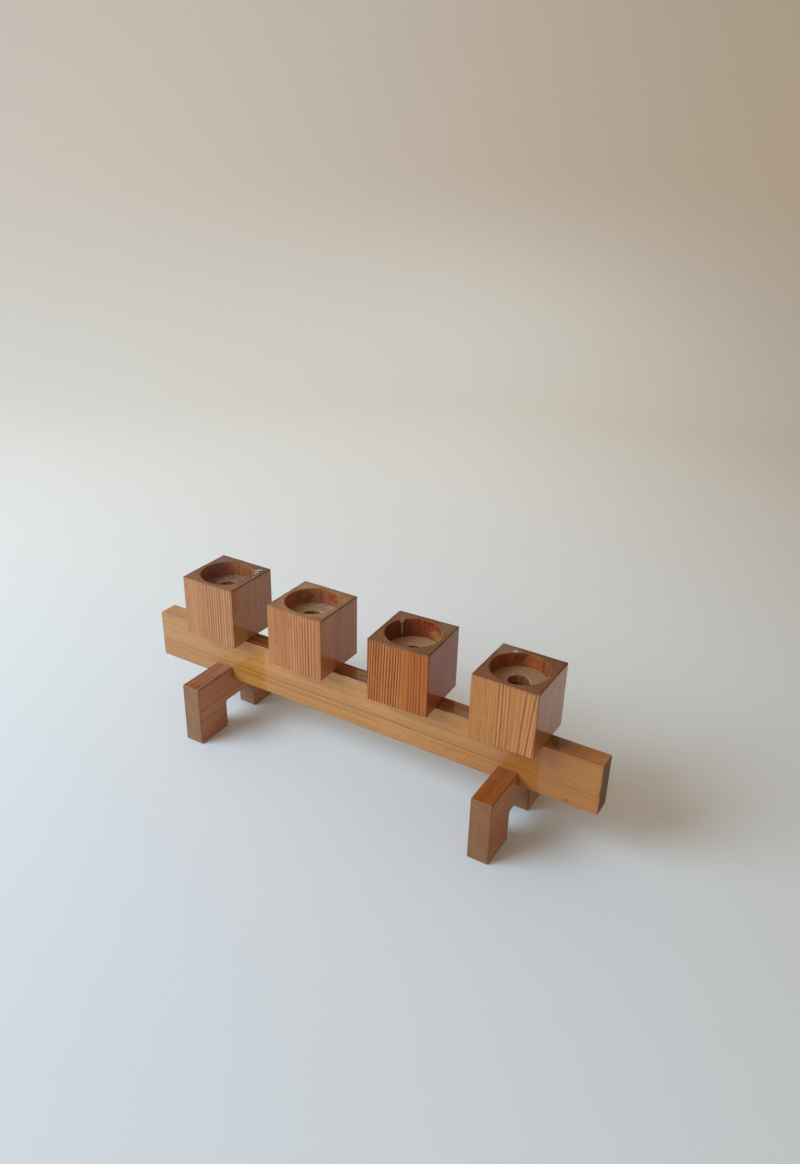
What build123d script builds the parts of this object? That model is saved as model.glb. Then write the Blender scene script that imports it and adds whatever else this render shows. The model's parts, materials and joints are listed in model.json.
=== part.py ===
from build123d import *
import os

# Advent candle holder of softwood: four candle blocks stand on a beam, which lies across two feet.
# Millimetres. X runs along the beam, -Y is the front, Z is up, and the feet stand on z = 0.

# Beam: one board on edge. It runs past the middle of each foot, and of the block above, by its overhang.
beam_length = 376.0
beam_thickness = 15.0
beam_height = 39.0
beam_overhang = 64.5
beam_edge_radius = 0.9

# Feet: two bridge-shaped bars across the beam, each in line with an outer block
foot_length = 95.0
foot_thickness = 15.5
foot_height = 49.0
foot_edge_radius = 0.9
arch_span = 34.0
arch_height = 23.5
arch_corner_radius = 2.0
arch_edge_radius = 0.5

# Lap joints, where a notch in the beam's underside crosses a notch in each foot's top
beam_notch_depth = 5.0
foot_notch_depth = 5.0
lap_clearance = 0.1

# Candle blocks: square posts of upright grain, numbered from the left. As the maker set and bored them,
# some stand a little behind or before the beam's mid-plane, the third is turned on its screw, and
# the candle recesses aren't equally deep.
inner_block_offset = 42.5
block_width = 47.0
block_depth = 47.0
block_height = 48.5
block_edge_radius = 0.7
block_setbacks = (2.0, 0.5, 0.5, -2.0)
block_turns = (0.0, 0.0, 2.8, 0.0)
recess_diameter = 40.0
recess_depths = (12.0, 12.5, 14.5, 11.0)
recess_rim_radius = 0.4

# Counterbore in each recess floor, down to the seat of the screw head that the block turns on
counterbore_diameter = 13.0
screw_seat_depth = 28.0
swivel_clearance = 0.1

# Block screws: slotted round-head wood screws, driven down into the beam
block_screw_diameter = 4.5
block_screw_head_diameter = 8.6
block_screw_head_height = 3.2
block_screw_dome_radius = 1.9
block_screw_slot_width = 1.2
block_screw_slot_depth = 1.4

# Foot screws: slotted countersunk wood screws, driven up through each foot into the beam
foot_screw_diameter = 4.0
foot_screw_head_diameter = 7.8
foot_screw_bite = 10.5
foot_screw_sink = 1.0
foot_screw_slot_width = 1.1
foot_screw_slot_depth = 1.0

# What all the screws share
screw_tip_length = 4.0
screw_tip_diameter = 0.8
screw_hole_clearance = 0.05
screw_tip_gap = 6.0

# Places that follow from the sizes above
lap_seat_z = foot_height - foot_notch_depth
beam_bottom_z = lap_seat_z - beam_notch_depth
beam_top_z = beam_bottom_z + beam_height
block_top_z = beam_top_z + block_height
block_screw_seat_z = block_top_z - screw_seat_depth
foot_screw_tip_z = lap_seat_z + foot_screw_bite
block_screw_tip_z = foot_screw_tip_z + screw_tip_gap
foot_screw_head_z = arch_height + foot_screw_sink

outer_offset = beam_length / 2 - beam_overhang
foot_centres = {"left": -outer_offset, "right": outer_offset}
block_offsets = (-outer_offset, -inner_block_offset, inner_block_offset, outer_offset)
block_centres = [Pos(x, y, 0) for x, y in zip(block_offsets, block_setbacks)]

ON_BASE = (Align.CENTER, Align.CENTER, Align.MIN)
FROM_TOP = (Align.CENTER, Align.CENTER, Align.MAX)


def upright_hole(diameter, bottom_z, top_z):
    """A cylinder on the Z axis, to cut a hole between two levels."""
    return Pos(0, 0, bottom_z) * Cylinder(diameter / 2, top_z - bottom_z, align=ON_BASE)


def pointed_rod(diameter, length):
    """A rod that stands on z = 0 and ends in a blunt point."""
    straight = Cylinder(diameter / 2, length - screw_tip_length, align=ON_BASE)
    tip = Cone(diameter / 2, screw_tip_diameter / 2, screw_tip_length, align=ON_BASE)
    return straight + Pos(0, 0, length - screw_tip_length) * tip


def make_foot(centre_x):
    """A bar with eased edges, an arch between its two legs and a notch that takes the beam."""
    bar = Box(foot_thickness, foot_length, foot_height, align=ON_BASE)
    bar = fillet(bar.edges(), foot_edge_radius)

    arch = Box(2 * foot_thickness, arch_span, 2 * arch_height)
    arch = fillet(arch.edges().filter_by(Axis.X).group_by(Axis.Z)[-1], arch_corner_radius)
    bar = bar - arch
    arch_zone = Box(2 * foot_thickness, arch_span + foot_edge_radius, 2 * arch_height + foot_edge_radius)
    arch_edges = [
        edge
        for edge in bar.edges()
        if arch_zone.is_inside(edge.center()) and abs(edge.center().X) > foot_thickness / 4
    ]
    bar = fillet(arch_edges, arch_edge_radius)

    notch_width = beam_thickness + 2 * lap_clearance
    bar = bar - Pos(0, 0, lap_seat_z) * Box(2 * foot_thickness, notch_width, foot_height, align=ON_BASE)

    hole_diameter = foot_screw_diameter + 2 * screw_hole_clearance
    sink_diameter = foot_screw_head_diameter + 2 * screw_hole_clearance
    cone_height = (foot_screw_head_diameter - foot_screw_diameter) / 2
    bar = bar - upright_hole(hole_diameter, 0, foot_height)
    bar = bar - upright_hole(sink_diameter, 0, foot_screw_head_z)
    sink_cone = Cone(sink_diameter / 2, hole_diameter / 2, cone_height, align=ON_BASE)
    bar = bar - Pos(0, 0, foot_screw_head_z) * sink_cone
    return Pos(centre_x, 0, 0) * bar


def make_foot_screw(centre_x):
    """A countersunk screw, head down, whose slot shows in the arch of the foot."""
    cone_height = (foot_screw_head_diameter - foot_screw_diameter) / 2
    head = Cone(foot_screw_head_diameter / 2, foot_screw_diameter / 2, cone_height, align=ON_BASE)
    screw = head + pointed_rod(foot_screw_diameter, foot_screw_tip_z - foot_screw_head_z)
    slot = Box(2 * foot_screw_head_diameter, foot_screw_slot_width, foot_screw_slot_depth, align=ON_BASE)
    return Pos(centre_x, 0, foot_screw_head_z) * (screw - slot)


def make_beam():
    """A board on edge with a notch over each foot and a pilot hole for every screw."""
    beam = Box(beam_length, beam_thickness, beam_height, align=ON_BASE)
    beam = Pos(0, 0, beam_bottom_z) * fillet(beam.edges(), beam_edge_radius)

    notch = Box(foot_thickness + 2 * lap_clearance, 2 * beam_thickness, beam_height, align=FROM_TOP)
    foot_hole_diameter = foot_screw_diameter + 2 * screw_hole_clearance
    foot_pilot = upright_hole(foot_hole_diameter, lap_seat_z, foot_screw_tip_z + screw_hole_clearance)
    for centre_x in foot_centres.values():
        beam = beam - Pos(centre_x, 0, lap_seat_z) * notch
        beam = beam - Pos(centre_x, 0, 0) * foot_pilot

    block_hole_diameter = block_screw_diameter + 2 * screw_hole_clearance
    block_pilot = upright_hole(block_hole_diameter, block_screw_tip_z - screw_hole_clearance, block_top_z)
    for centre in block_centres:
        beam = beam - centre * block_pilot
    return beam


def make_block(centre, turn, recess_depth):
    """A post with a candle recess, a counterbore in its floor and a hole for the screw it turns on."""
    block = Box(block_width, block_depth, block_height, align=ON_BASE)
    block = Pos(0, 0, beam_top_z) * fillet(block.edges(), block_edge_radius)

    recess_floor_z = block_top_z - recess_depth
    block = block - upright_hole(recess_diameter, recess_floor_z, block_top_z)
    rim = block.edges().filter_by(GeomType.CIRCLE).group_by(Axis.Z)[-1]
    block = fillet(rim, recess_rim_radius)
    block = block - upright_hole(counterbore_diameter, block_screw_seat_z, recess_floor_z)
    swivel_diameter = block_screw_diameter + 2 * swivel_clearance
    block = block - upright_hole(swivel_diameter, beam_top_z, block_screw_seat_z)
    return centre * Rot(0, 0, turn) * block


def make_block_screw(centre):
    """A round-head screw, point down, whose head seats on the floor of a block's counterbore."""
    head = Cylinder(block_screw_head_diameter / 2, block_screw_head_height, align=ON_BASE)
    head = fillet(head.edges().group_by(Axis.Z)[-1], block_screw_dome_radius)
    slot = Box(2 * block_screw_head_diameter, block_screw_slot_width, block_screw_slot_depth, align=FROM_TOP)
    head = head - Pos(0, 0, block_screw_head_height) * slot
    rod = pointed_rod(block_screw_diameter, block_screw_seat_z - block_screw_tip_z)
    return centre * Pos(0, 0, block_screw_seat_z) * (head + Rot(180, 0, 0) * rod)


def make_pieces():
    """Every piece of the holder, by name."""
    pieces = {"beam": make_beam()}
    for side, centre_x in foot_centres.items():
        pieces["foot_" + side] = make_foot(centre_x)
        pieces["foot_screw_" + side] = make_foot_screw(centre_x)
    block_settings = zip(block_centres, block_turns, recess_depths)
    for number, (centre, turn, recess_depth) in enumerate(block_settings, start=1):
        pieces[f"candle_block_{number}"] = make_block(centre, turn, recess_depth)
        pieces[f"block_screw_{number}"] = make_block_screw(centre)
    return pieces


os.makedirs("parts", exist_ok=True)
for name, piece in make_pieces().items():
    piece.label = name
    export_step(piece, os.path.join("parts", name + ".step"))
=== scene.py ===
import json
import math

import bmesh
import bpy
import numpy as np
from mathutils import Matrix, Vector, noise


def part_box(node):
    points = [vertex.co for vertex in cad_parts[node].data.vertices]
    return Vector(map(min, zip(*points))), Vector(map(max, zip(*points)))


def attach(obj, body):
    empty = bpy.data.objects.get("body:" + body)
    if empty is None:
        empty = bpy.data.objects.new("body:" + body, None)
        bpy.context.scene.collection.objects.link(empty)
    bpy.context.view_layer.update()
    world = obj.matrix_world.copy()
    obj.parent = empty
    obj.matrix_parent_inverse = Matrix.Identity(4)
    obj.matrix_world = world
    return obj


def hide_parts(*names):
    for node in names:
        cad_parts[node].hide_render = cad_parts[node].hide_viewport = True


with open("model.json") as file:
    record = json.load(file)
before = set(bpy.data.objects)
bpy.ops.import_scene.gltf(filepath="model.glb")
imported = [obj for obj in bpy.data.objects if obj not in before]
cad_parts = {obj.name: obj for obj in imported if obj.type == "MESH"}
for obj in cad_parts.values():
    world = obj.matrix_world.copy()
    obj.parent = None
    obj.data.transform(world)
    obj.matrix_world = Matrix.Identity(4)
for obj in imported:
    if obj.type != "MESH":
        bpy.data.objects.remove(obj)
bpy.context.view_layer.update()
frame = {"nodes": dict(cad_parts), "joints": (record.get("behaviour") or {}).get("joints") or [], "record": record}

# The looks of an advent candle holder: worn, lacquered softwood with traces of wax.
# Sizes are millimetres in the part's frame, and turn into metres where a mesh is made.
MM = 0.001
BLOCKS = (1, 2, 3, 4)


def box_mm(node):
    """The lowest and highest corner of a CAD node, in millimetres."""
    low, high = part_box(node)
    return np.array(low) / MM, np.array(high) / MM


# Sizes read from the frame
mounts = {mount["name"]: mount for mount in frame["record"]["mounts"]}
swivels = {joint["child"]: np.array(joint["pos_m"]) / MM for joint in frame["joints"]}
recess_radius = mounts["candle_recess_1"]["dims"]["r_mm"]
recess_depths = {number: mounts[f"candle_recess_{number}"]["dims"]["length_mm"] for number in BLOCKS}
block_low, block_high = box_mm("candle_block_1")
block_half = (block_high - block_low)[0] / 2
block_height = (block_high - block_low)[2]
(beam_left, beam_front, beam_bottom), (beam_right, beam_back, beam_top) = box_mm("beam")
foot_low, foot_high = box_mm("foot_right")
foot_middle_x = (foot_low[0] + foot_high[0]) / 2
foot_half = (foot_high - foot_low)[0] / 2
foot_places = {"left": -foot_middle_x, "right": foot_middle_x}
block_screw_tip_z = box_mm("block_screw_1")[0][2]
foot_screw_head_z, foot_screw_tip_z = (corner[2] for corner in box_mm("foot_screw_right"))

# Sizes that the frame doesn't tell
counterbore_radius = 6.5
screw_seat_depth = 28.0
screw_seat_radius = 4.5
swivel_hole_radius = 2.35
block_screw_radius = 2.3
foot_screw_radius = 2.05
foot_head_radius = 3.95
foot_drill_z = 10
block_turns = {3: 2.8}
lap_depth = 5.0
lap_clearance = 0.1
arch_half_span = 17.0
arch_height = 23.5
arch_corner_radius = 2.0

# Roundness of the worn edges, and the depth of the hollow worn into the block tops
block_edge = 0.6
block_corner = 0.6
rim_edge = 0.45
board_edge = 0.5
top_hollow = 0.2
rim_z = block_height - top_hollow

# Roundness of the boards' corners, seen from the side. The beam's start at the lower left.
beam_corners = (1.2, 0.6, 0.7, 1.0)
foot_corner = 0.7
leg_corner = 0.6
notch_corner = 0.3
lap_corner = 0.15

# Wear of the blocks: the side whose top edges are darkened most, by handling wear and painted shade, and how far
# the wood is torn at a screw hole
WORN_AND_SHADED_SIDE = (1.0, 0.8)
LEAST_WEAR_AND_SHADE = 0.55
MORE_WEAR_AND_SHADE = 0.45
MOST_TORN = 2.6

# Fineness of the meshes. BEND holds the angles of the rings that round an edge.
SUPPORT = 0.4
BEND = np.linspace(0, math.pi / 2, 5)
ARC_POINTS = 7
SIDE_POINTS = 48
CORNER_POINTS = 6
BEAM_STEP = 1.5
FOOT_STEP = 2.0
WAX_GRAIN = 0.1


def srgb(red, green, blue):
    """A colour given as 0 to 255 screen values, as linear light with alpha."""
    levels = [value / 255 for value in (red, green, blue)]
    linear = [v / 12.92 if v <= 0.04045 else ((v + 0.055) / 1.055) ** 2.4 for v in levels]
    return (*linear, 1.0)


# Colours of dirt, dust, steel and old wax. The dirt and soot tones also paint shade, and the pale dust tone also
# paints sheen, at a few places.
DIRT_AND_SHADE = srgb(44, 28, 20)
SMUDGE = srgb(74, 66, 62)
SOOT_AND_SHADE = srgb(62, 30, 20)
DUST_AND_SHEEN = srgb(214, 198, 180)
HOLE_BROWN = srgb(104, 46, 22)
STEEL = srgb(150, 144, 136)
RUST = srgb(104, 64, 40)
WAX_PALE = srgb(232, 222, 214)
WAX_DULL = srgb(190, 168, 150)
# Painted shade: a darker wax tone for wax lying in a recess.
WAX_SHADED_BROWN = srgb(138, 104, 84)
WAX_RED = srgb(150, 48, 26)
WAX_RUST = srgb(150, 70, 36)
WAX_ORANGE = srgb(176, 92, 38)
WAX_AMBER = srgb(184, 120, 58)
WAX_MAUVE = srgb(140, 88, 66)
WAX_PLUM = srgb(132, 86, 94)
WAX_BURNT = srgb(104, 42, 20)


# Meshes

RIPPLE_STEPS = (17.3, 5.1, 9.7)


def ripple(points, scale, seed):
    """Smooth noise from -1 to 1 at each point."""
    shift = Vector([seed * step for step in RIPPLE_STEPS])
    return np.array([noise.noise(Vector(p) * scale + shift) for p in points])


def link_object(name, data):
    """An object of that mesh, lamp or camera, in the scene."""
    obj = bpy.data.objects.new(name, data)
    bpy.context.scene.collection.objects.link(obj)
    return obj


def link_bmesh(name, work):
    """An object of a mesh in the works, which ends there."""
    mesh = bpy.data.meshes.new(name)
    work.to_mesh(mesh)
    work.free()
    return link_object(name, mesh)


def make_object(name, vertices, faces, materials, face_finish=None, edge=None):
    """A smooth mesh object from millimetre vertices, with its finishes and its share of edge wear."""
    mesh = bpy.data.meshes.new(name)
    mesh.from_pydata([tuple(v) for v in np.asarray(vertices) * MM], [], faces)
    for material in materials:
        mesh.materials.append(material)
    if face_finish is not None:
        mesh.polygons.foreach_set("material_index", np.asarray(face_finish, dtype=np.int32))
    mesh.polygons.foreach_set("use_smooth", np.ones(len(faces), dtype=bool))
    if edge is not None:
        layer = mesh.attributes.new("edge", "FLOAT", "POINT")
        layer.data.foreach_set("value", np.asarray(edge, dtype=np.float32))
    mesh.validate()
    mesh.update()
    return link_object(name, mesh)


def apply_modifier(obj, modifier):
    """Replace an object's mesh with what its modifier makes of it."""
    bpy.context.view_layer.update()
    evaluated = obj.evaluated_get(bpy.context.evaluated_depsgraph_get())
    changed = bpy.data.meshes.new_from_object(evaluated)
    obj.modifiers.remove(modifier)
    obj.data = changed


def ring_faces(ring_count, ring_size, closed):
    """Quads between rings of points that follow each other."""
    faces = []
    for i in range(ring_count if closed else ring_count - 1):
        j = (i + 1) % ring_count
        for k in range(ring_size):
            m = (k + 1) % ring_size
            faces.append((i * ring_size + k, i * ring_size + m, j * ring_size + m, j * ring_size + k))
    return faces


def rounded_square(half, radius):
    """Points anticlockwise round a square with round corners, their outward normals and corner share."""
    flat = half - radius
    side = [((half, t), (1.0, 0.0), 0.0) for t in np.linspace(-flat, flat, SIDE_POINTS, endpoint=False)]
    for a in np.linspace(0, math.pi / 2, CORNER_POINTS, endpoint=False):
        normal = (math.cos(a), math.sin(a))
        side.append(((flat + radius * normal[0], flat + radius * normal[1]), normal, 1.0))
    points, normals, corner = (np.array(column) for column in zip(*side))
    turns = [np.linalg.matrix_power([[0, 1], [-1, 0]], quarter) for quarter in range(4)]
    points, normals = (np.concatenate([column @ turn for turn in turns]) for column in (points, normals))
    return points, normals, np.tile(corner, 4)


# Finishes of a block's faces, in the order of its material slots
SIDES, WALL, FLOOR, HOLE, END = range(5)

# A block from above: the points round it, their outward normals, angles, and edge darkening by handling wear and
# painted shade
square, outward, at_corner = rounded_square(block_half, block_corner)
angles = np.arctan2(square[:, 1], square[:, 0])
round_way = np.stack([np.cos(angles), np.sin(angles)], axis=1)
wear_and_shade = LEAST_WEAR_AND_SHADE + MORE_WEAR_AND_SHADE * np.clip(outward @ WORN_AND_SHADED_SIDE, 0, 1)


def circle(radius):
    return round_way * np.reshape(radius, (-1, 1))


def drawn_in(amount):
    return square - outward * np.reshape(amount, (-1, 1))


# Rings of a block's parts: points, height, wear, and the finish of the faces up to the next ring

def underside_rings(low_edge):
    for share in (0.0, 0.35, 0.7, 0.95):
        yield circle(swivel_hole_radius) * (1 - share) + drawn_in(low_edge) * share, 0, 0.0, END
    for angle in BEND:
        points = drawn_in(low_edge * (1 - math.sin(angle)))
        finish = END if angle < math.pi / 6 else SIDES
        yield points, low_edge * (1 - math.cos(angle)), 0.6 * math.sin(2 * angle), finish


def side_rings(low_edge, top_edge):
    corner_wear = 0.4 * at_corner
    yield square, low_edge + SUPPORT, corner_wear, SIDES
    for z in np.linspace(3.0, block_height - 3.0, 26):
        yield square, z, corner_wear, SIDES
    edge_z = block_height - top_edge
    yield square, edge_z - 1.0, np.maximum(0.1 * wear_and_shade, corner_wear), SIDES
    yield square, edge_z - SUPPORT, 0.5 * wear_and_shade, SIDES


def top_rings(top_edge):
    """The top edge, darkened by handling wear and painted shade, the top with its worn hollow, and the rim of the
    recess.
    """
    for angle in BEND:
        drop = top_edge * (1 - math.sin(angle))
        yield drawn_in(top_edge * (1 - math.cos(angle))), block_height - drop, wear_and_shade, END
    rim, inner_edge = circle(recess_radius + rim_edge), drawn_in(top_edge)
    for share, wear in ((0.1, 0.5 * wear_and_shade), (0.3, 0.1), (0.5, 0.0), (0.7, 0.0), (0.92, 0.1)):
        hollow = top_hollow * min(1, 3 * share)
        yield inner_edge * (1 - share) + rim * share, block_height - hollow, wear, END
    for angle in BEND[:-1]:
        radius = recess_radius + rim_edge * (1 - math.sin(angle))
        yield circle(radius), rim_z - rim_edge * (1 - math.cos(angle)), 0.4, END


def recess_rings(floor_z):
    for z in np.linspace(rim_z - rim_edge, floor_z + SUPPORT, 8):
        yield circle(recess_radius), z, 0.0, WALL
    yield circle(recess_radius), floor_z, 0.6, FLOOR
    for radius in np.linspace(recess_radius - SUPPORT, counterbore_radius + MOST_TORN + 0.6, 9):
        yield circle(radius), floor_z, 0.0, FLOOR


def screw_hole_rings(floor_z, number):
    """The counterbore with its torn rim, the screw's seat and the hole under it."""
    jag = ripple(np.column_stack([round_way * 4.0, angles * 0]), 1.0, number + 2)
    torn = np.zeros(len(angles))
    for direction, reach, depth, raggedness in TORN_HOLES[number]:
        apart = np.abs((angles - direction + math.pi) % (2 * math.pi) - math.pi)
        torn += np.clip(1 - (apart / reach) ** 2, 0, 1) * (depth + raggedness * jag)
    torn = np.clip(torn, 0, MOST_TORN)
    for share, gap, drop, wear in ((1.0, 0.3, 0.05, 0.5), (1.0, 0.0, 0.4, 1.0), (0.8, 0.0, 2.2, 1.0)):
        yield circle(counterbore_radius + share * torn + gap), floor_z - drop, wear, HOLE
    seat_z = block_height - screw_seat_depth
    for z in np.linspace(floor_z - 4.0, seat_z, 4):
        yield circle(counterbore_radius), z, 0.5, HOLE
    for radius in (screw_seat_radius, swivel_hole_radius):
        yield circle(radius), seat_z, 0.5, HOLE
    yield circle(swivel_hole_radius), SUPPORT, 0.5, HOLE


def block_mesh(name, number, materials):
    """A candle block, from its underside over the top and down into its screw hole."""
    rim = np.column_stack([square, np.full(len(square), block_height)])
    top_edge = block_edge * (1 + 0.45 * ripple(rim, 0.16, number) + 0.12 * ripple(rim, 0.6, number + 9))
    low_edge = block_edge * (1 + 0.4 * ripple(rim, 0.2, number + 4))
    floor_z = block_height - recess_depths[number]
    rings = [
        *underside_rings(low_edge), *side_rings(low_edge, top_edge), *top_rings(top_edge),
        *recess_rings(floor_z), *screw_hole_rings(floor_z, number),
    ]
    points, heights, wear, finishes = zip(*rings)
    size = len(square)
    vertices = [np.column_stack([xy, np.broadcast_to(z, size)]) for xy, z in zip(points, heights)]
    edge = np.concatenate([np.broadcast_to(share, size) for share in wear])
    faces = ring_faces(len(rings), size, closed=True)
    return make_object(name, np.concatenate(vertices), faces, materials, np.repeat(finishes, size), edge)


class Outline:
    """A polygon whose corners have a radius, as points that can each be drawn in by some distance."""

    def __init__(self, corners, step):
        places = np.array([corner[:2] for corner in corners], dtype=float)
        count = len(corners)
        self.arcs = []
        for i, (_, _, radius) in enumerate(corners):
            back = places[i - 1] - places[i]
            ahead = places[(i + 1) % count] - places[i]
            back, ahead = back / np.linalg.norm(back), ahead / np.linalg.norm(ahead)
            out_start, out_end = np.array([-back[1], back[0]]), np.array([ahead[1], -ahead[0]])
            side = 1 if out_start @ ahead < 0 else -1
            miter = (out_start + out_end) / (1 + out_start @ out_end)
            self.arcs.append((places[i] - side * miter * radius, out_start, out_end, miter, side, radius))
        self.points = []
        for i in range(count):
            self.points += [(i, share, 0.0) for share in np.linspace(0, 1, ARC_POINTS)]
            run = np.linalg.norm(self.arc_point((i + 1) % count, 0.0, 0.0) - self.arc_point(i, 1.0, 0.0))
            pieces = max(int((run - 2 * SUPPORT) / step), 1)
            self.points += [(i, 1.0, gap / run) for gap in np.linspace(SUPPORT, run - SUPPORT, pieces + 1)]
        self.on_arc = np.array([0.0 if along > 0 else 1.0 for _, _, along in self.points])
        self.corner_wear = 0.6 * self.on_arc

    def arc_point(self, i, share, inset):
        """A point on a corner, drawn in. The corner is sharp where that uses up its radius."""
        centre, out_start, out_end, miter, side, radius = self.arcs[i]
        left = radius - side * inset
        if left < 0:
            return centre + miter * left
        normal = out_start * (1 - share) + out_end * share
        return centre + side * normal / np.linalg.norm(normal) * left

    def inset(self, amounts):
        drawn = []
        for (i, share, along), amount in zip(self.points, np.broadcast_to(amounts, len(self.points))):
            point = self.arc_point(i, share, amount)
            if along > 0:
                following = self.arc_point((i + 1) % len(self.arcs), 0.0, amount)
                point = point * (1 - along) + following * along
            drawn.append(point)
        return np.array(drawn)


def worn_edge(outline, flat, seed, nicks):
    """Steps round the long edge of a board: how far in and how deep they lie, and their wear."""
    radius = board_edge * (1 + 0.3 * ripple(flat, 0.05, seed) + 0.08 * ripple(flat, 0.3, seed + 3))
    for place, reach, depth in nicks:
        apart = np.linalg.norm(flat[:, :2] - place, axis=1)
        radius += depth * np.clip(1.4 * (1 - apart / reach), 0, 1)
    for start in np.flatnonzero(np.diff(outline.on_arc, prepend=0) > 0):
        radius[start:start + ARC_POINTS] = radius[start:start + ARC_POINTS].mean()
    level = np.zeros(len(flat))
    steps = [(level + 3.5, level, 0.0), (radius + 0.6, level, 0.2)]
    for angle in BEND:
        steps.append((radius * (1 - math.sin(angle)), radius * (1 - math.cos(angle)), 1.0))
    return [*steps, (level, radius + SUPPORT, 0.3), (level, radius + 1.5, outline.corner_wear)]


def eased_board(name, outline, axes, span, materials, grain_axis, seed, nicks=()):
    """A board of that outline, as thick as span, whose long edges are rounded unevenly by wear."""
    size = len(outline.points)
    flat = np.column_stack([outline.inset(0.0), np.zeros(size)])
    low, high = span
    sections = [(inset, low + depth, wear) for inset, depth, wear in worn_edge(outline, flat, seed, nicks)]
    sections.append((np.zeros(size), (low + high) / 2, outline.corner_wear))
    back_edge = reversed(worn_edge(outline, flat, seed + 7, ()))
    sections += [(inset, high - depth, wear) for inset, depth, wear in back_edge]
    vertices, edge = [], []
    for inset, depth, wear in sections:
        ring = np.zeros((size, 3))
        ring[:, axes[0]], ring[:, axes[1]] = outline.inset(inset).T
        ring[:, axes[2]] = depth
        vertices.append(ring)
        edge.append(np.broadcast_to(wear, size))
    faces = ring_faces(len(sections), size, closed=False)
    faces.append(tuple(range(size)))
    faces.append(tuple((len(sections) - 1) * size + k for k in range(size)))
    obj = make_object(name, np.concatenate(vertices), faces, materials, None, np.concatenate(edge))
    tidy_normals(obj)
    for face in obj.data.polygons:
        face.material_index = 1 if abs(face.normal[grain_axis]) > 0.8 else 0
    return obj


def tidy_normals(obj):
    """Join points that meet and turn all faces of a closed mesh outwards."""
    work = bmesh.new()
    work.from_mesh(obj.data)
    bmesh.ops.remove_doubles(work, verts=work.verts, dist=0.002 * MM)
    bmesh.ops.recalc_face_normals(work, faces=work.faces)
    work.to_mesh(obj.data)
    work.free()


def drill(obj, holes):
    """Cut upright round holes, each given by its middle, radius and lowest and highest level."""
    work = bmesh.new()
    for (x, y), radius, low, high in holes:
        place = Matrix.Translation(Vector((x, y, (low + high) / 2)) * MM)
        bmesh.ops.create_cone(work, cap_ends=True, segments=32, radius1=radius * MM, radius2=radius * MM,
                              depth=(high - low) * MM, matrix=place)
    bit = link_bmesh("drill", work)
    cut = obj.modifiers.new("holes", "BOOLEAN")
    cut.operation = "DIFFERENCE"
    cut.solver = "EXACT"
    cut.object = bit
    apply_modifier(obj, cut)
    bpy.data.objects.remove(bit)


# Materials

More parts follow.
